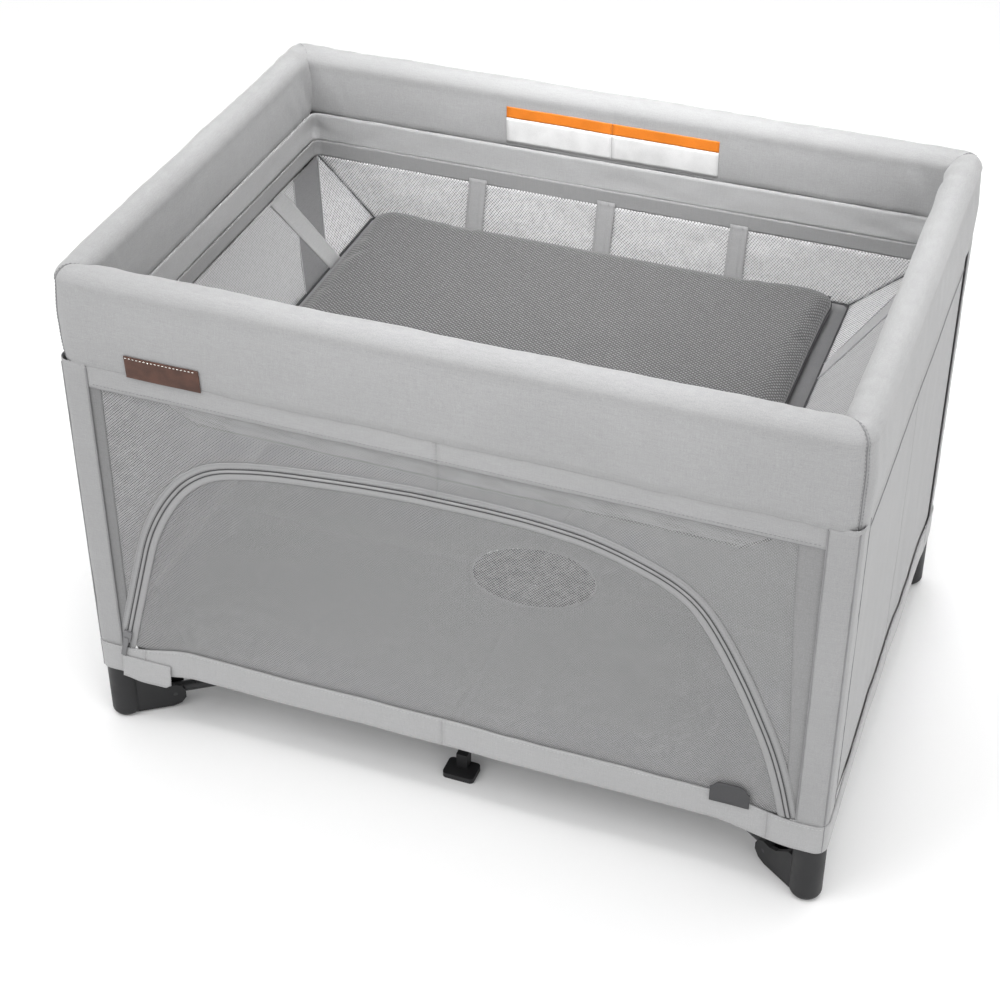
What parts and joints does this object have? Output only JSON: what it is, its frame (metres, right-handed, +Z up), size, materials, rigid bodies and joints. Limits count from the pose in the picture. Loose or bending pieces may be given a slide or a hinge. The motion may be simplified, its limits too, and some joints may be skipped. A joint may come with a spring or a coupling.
{
  "type": "travel play yard",
  "caption": "Folding travel play yard with mesh walls, a zipped side door, padded rails, corner feet and a lift-out bassinet with a mattress.",
  "frame": {"origin": "on the floor, at the centre of the base", "axes": "+X along the length, +Y to the back, +Z up; the zipped door faces -Y"},
  "size_m": [1.04, 0.7303, 0.742],
  "materials": {
    "plastic_foot": "fine-grained charcoal moulding",
    "plastic_frame": "dark moulding",
    "steel_tube": "satin powder coat",
    "button_plastic": "light moulding",
    "cover_cloth": "heather melange weave",
    "wall_mesh": "open mesh",
    "end_cloth": "plain weave",
    "floor_cloth": "plain weave",
    "mattress_cloth": "spacer mesh",
    "tag_leather": "smooth, stitched",
    "slider_metal": "satin"
  },
  "bodies": {
    "corner_fl": {"foot_fl": "plastic_foot", "post_fl": "steel_tube", "bracket_fl": "plastic_frame", "cover_corner_fl": "cover_cloth", "wall_front": "wall_mesh", "wall_left": "end_cloth"},
    "base_fl": {"base_tube_fl": "steel_tube"},
    "long_fl": {"rail_fl_long": "steel_tube", "cover_fl_long": "cover_cloth", "leather_tag": "tag_leather"},
    "short_fl": {"rail_fl_short": "steel_tube", "cover_fl_short": "cover_cloth"},
    "corner_fr": {"foot_fr": "plastic_foot", "post_fr": "steel_tube", "bracket_fr": "plastic_frame", "cover_corner_fr": "cover_cloth"},
    "base_fr": {"base_tube_fr": "steel_tube"},
    "long_fr": {"rail_fr_long": "steel_tube", "cover_fr_long": "cover_cloth"},
    "short_fr": {"rail_fr_short": "steel_tube", "cover_fr_short": "cover_cloth"},
    "corner_bl": {"foot_bl": "plastic_foot", "post_bl": "steel_tube", "bracket_bl": "plastic_frame", "cover_corner_bl": "cover_cloth"},
    "base_bl": {"base_tube_bl": "steel_tube"},
    "long_bl": {"rail_bl_long": "steel_tube", "cover_bl_long": "cover_cloth"},
    "short_bl": {"rail_bl_short": "steel_tube", "cover_bl_short": "cover_cloth"},
    "corner_br": {"foot_br": "plastic_foot", "post_br": "steel_tube", "bracket_br": "plastic_frame", "cover_corner_br": "cover_cloth", "wall_back": "wall_mesh", "wall_right": "end_cloth"},
    "base_br": {"base_tube_br": "steel_tube"},
    "long_br": {"rail_br_long": "steel_tube", "cover_br_long": "cover_cloth"},
    "short_br": {"rail_br_short": "steel_tube", "cover_br_short": "cover_cloth"},
    "hub": {"hub": "plastic_frame", "floor": "floor_cloth"},
    "handle": {"fold_handle": "plastic_foot"},
    "door": {"door_panel": "wall_mesh"},
    "slider": {"zip_slider": "slider_metal"},
    "bassinet": {"bassinet": "end_cloth", "bassinet_bars": "steel_tube"},
    "mattress": {"mattress": "mattress_cloth"},
    "latch_front": {"latch_front": "plastic_frame"},
    "button_front": {"button_front": "button_plastic"},
    "latch_back": {"latch_back": "plastic_frame"},
    "button_back": {"button_back": "button_plastic"},
    "latch_left": {"latch_left": "plastic_frame"},
    "button_left": {"button_left": "button_plastic"},
    "latch_right": {"latch_right": "plastic_frame"},
    "button_right": {"button_right": "button_plastic"},
    "mid_front": {"mid_support_front": "steel_tube"},
    "mid_back": {"mid_support_back": "steel_tube"}
  },
  "joints": [
    {"name": "frame_fold", "type": "hinge", "parent": "corner_fl", "child": "base_fl", "pos_m": [-0.44093, -0.30253, 0.024], "axis": [0.5658, -0.8246, 0], "range_deg": [0, 80], "deforming": ["wall_front", "wall_back", "wall_left", "wall_right", "door_panel", "floor", "bassinet", "cover_fl_long", "cover_fl_short", "cover_fr_long", "cover_fr_short", "cover_bl_long", "cover_bl_short", "cover_br_long", "cover_br_short", "cover_corner_fl", "cover_corner_fr", "cover_corner_bl", "cover_corner_br", "leather_tag"]},
    {"name": "hub_level", "type": "hinge", "parent": "base_fl", "child": "hub", "pos_m": [-0.04618, -0.03168, 0.024], "axis": [-0.5658, 0.8246, 0], "range_deg": [0, 80]},
    {"name": "base_fr_turn", "type": "hinge", "parent": "hub", "child": "base_fr", "pos_m": [0.04618, -0.03168, 0.024], "axis": [0.5658, 0.8246, 0], "range_deg": [0, 80]},
    {"name": "corner_fr_level", "type": "hinge", "parent": "base_fr", "child": "corner_fr", "pos_m": [0.44093, -0.30253, 0.024], "axis": [-0.5658, -0.8246, 0], "range_deg": [0, 80]},
    {"name": "base_bl_turn", "type": "hinge", "parent": "hub", "child": "base_bl", "pos_m": [-0.04618, 0.03168, 0.024], "axis": [-0.5658, -0.8246, 0], "range_deg": [0, 80]},
    {"name": "corner_bl_level", "type": "hinge", "parent": "base_bl", "child": "corner_bl", "pos_m": [-0.44093, 0.30253, 0.024], "axis": [0.5658, 0.8246, 0], "range_deg": [0, 80]},
    {"name": "base_br_turn", "type": "hinge", "parent": "hub", "child": "base_br", "pos_m": [0.04618, 0.03168, 0.024], "axis": [-0.5658, 0.8246, 0], "range_deg": [0, 80]},
    {"name": "corner_br_level", "type": "hinge", "parent": "base_br", "child": "corner_br", "pos_m": [0.44093, 0.30253, 0.024], "axis": [0.5658, -0.8246, 0], "range_deg": [0, 80]},
    {"name": "long_fl_fold", "type": "hinge", "parent": "corner_fl", "child": "long_fl", "pos_m": [-0.41875, -0.341, 0.69], "axis": [0, 1, 0], "range_deg": [0, 80]},
    {"name": "short_fl_fold", "type": "hinge", "parent": "corner_fl", "child": "short_fl", "pos_m": [-0.497, -0.29485, 0.69], "axis": [-1, 0, 0], "range_deg": [0, 80]},
    {"name": "long_fr_fold", "type": "hinge", "parent": "corner_fr", "child": "long_fr", "pos_m": [0.41875, -0.341, 0.69], "axis": [0, -1, 0], "range_deg": [0, 80]},
    {"name": "short_fr_fold", "type": "hinge", "parent": "corner_fr", "child": "short_fr", "pos_m": [0.497, -0.29485, 0.69], "axis": [-1, 0, 0], "range_deg": [0, 80]},
    {"name": "long_bl_fold", "type": "hinge", "parent": "corner_bl", "child": "long_bl", "pos_m": [-0.41875, 0.341, 0.69], "axis": [0, 1, 0], "range_deg": [0, 80]},
    {"name": "short_bl_fold", "type": "hinge", "parent": "corner_bl", "child": "short_bl", "pos_m": [-0.497, 0.29485, 0.69], "axis": [1, 0, 0], "range_deg": [0, 80]},
    {"name": "long_br_fold", "type": "hinge", "parent": "corner_br", "child": "long_br", "pos_m": [0.41875, 0.341, 0.69], "axis": [0, -1, 0], "range_deg": [0, 80]},
    {"name": "short_br_fold", "type": "hinge", "parent": "corner_br", "child": "short_br", "pos_m": [0.497, 0.29485, 0.69], "axis": [1, 0, 0], "range_deg": [0, 80]},
    {"name": "latch_front_level", "type": "hinge", "parent": "long_fl", "child": "latch_front", "pos_m": [-0.024, -0.341, 0.69], "axis": [0, -1, 0], "range_deg": [0, 80]},
    {"name": "button_front_press", "type": "slide", "parent": "latch_front", "child": "button_front", "axis": [0, 0, 1], "range_m": [0, 0.004], "stiffness_N_per_m": 400},
    {"name": "latch_back_level", "type": "hinge", "parent": "long_bl", "child": "latch_back", "pos_m": [-0.024, 0.341, 0.69], "axis": [0, -1, 0], "range_deg": [0, 80]},
    {"name": "button_back_press", "type": "slide", "parent": "latch_back", "child": "button_back", "axis": [0, 0, 1], "range_m": [0, 0.004], "stiffness_N_per_m": 400},
    {"name": "latch_left_level", "type": "hinge", "parent": "short_fl", "child": "latch_left", "pos_m": [-0.497, -0.024, 0.69], "axis": [1, 0, 0], "range_deg": [0, 80]},
    {"name": "button_left_press", "type": "slide", "parent": "latch_left", "child": "button_left", "axis": [0, 0, 1], "range_m": [0, 0.004], "stiffness_N_per_m": 400},
    {"name": "latch_right_level", "type": "hinge", "parent": "short_fr", "child": "latch_right", "pos_m": [0.497, -0.024, 0.69], "axis": [1, 0, 0], "range_deg": [0, 80]},
    {"name": "button_right_press", "type": "slide", "parent": "latch_right", "child": "button_right", "axis": [0, 0, 1], "range_m": [0, 0.004], "stiffness_N_per_m": 400},
    {"name": "mid_front_fold", "type": "hinge", "parent": "hub", "child": "mid_front", "pos_m": [0, -0.05, 0.024], "axis": [1, 0, 0], "range_deg": [0, 80]},
    {"name": "mid_back_fold", "type": "hinge", "parent": "hub", "child": "mid_back", "pos_m": [0, 0.05, 0.024], "axis": [-1, 0, 0], "range_deg": [0, 80]},
    {"name": "handle_pull", "type": "slide", "parent": "hub", "child": "handle", "axis": [0, 0, 1], "range_m": [0, 0.01], "stiffness_N_per_m": 300},
    {"name": "bassinet_lift", "type": "slide", "parent": "hub", "child": "bassinet", "axis": [0, 0, 1], "range_m": [0, 0.35]},
    {"name": "mattress_lift", "type": "slide", "parent": "bassinet", "child": "mattress", "axis": [0, 0, 1], "range_m": [0, 0.25]},
    {"name": "door_open", "type": "hinge", "parent": "corner_fl", "child": "door", "pos_m": [0, -0.3595, 0.103], "axis": [1, 0, 0], "range_deg": [0, 90]},
    {"name": "zip_run", "type": "slide", "parent": "door", "child": "slider", "axis": [0.2419, 0, 0.9703], "range_m": [0, 0.16]}
  ],
  "couplings": [
    {"joint": "hub_level", "follows": "frame_fold", "ratio": 1},
    {"joint": "base_fr_turn", "follows": "frame_fold", "ratio": 1},
    {"joint": "corner_fr_level", "follows": "frame_fold", "ratio": 1},
    {"joint": "base_bl_turn", "follows": "frame_fold", "ratio": 1},
    {"joint": "corner_bl_level", "follows": "frame_fold", "ratio": 1},
    {"joint": "base_br_turn", "follows": "frame_fold", "ratio": 1},
    {"joint": "corner_br_level", "follows": "frame_fold", "ratio": 1},
    {"joint": "long_fl_fold", "follows": "frame_fold", "ratio": 1},
    {"joint": "short_fl_fold", "follows": "frame_fold", "ratio": 1},
    {"joint": "long_fr_fold", "follows": "frame_fold", "ratio": 1},
    {"joint": "short_fr_fold", "follows": "frame_fold", "ratio": 1},
    {"joint": "long_bl_fold", "follows": "frame_fold", "ratio": 1},
    {"joint": "short_bl_fold", "follows": "frame_fold", "ratio": 1},
    {"joint": "long_br_fold", "follows": "frame_fold", "ratio": 1},
    {"joint": "short_br_fold", "follows": "frame_fold", "ratio": 1},
    {"joint": "latch_front_level", "follows": "frame_fold", "ratio": 1},
    {"joint": "latch_back_level", "follows": "frame_fold", "ratio": 1},
    {"joint": "latch_left_level", "follows": "frame_fold", "ratio": 1},
    {"joint": "latch_right_level", "follows": "frame_fold", "ratio": 1},
    {"joint": "mid_front_fold", "follows": "frame_fold", "ratio": 1},
    {"joint": "mid_back_fold", "follows": "frame_fold", "ratio": 1}
  ]
}
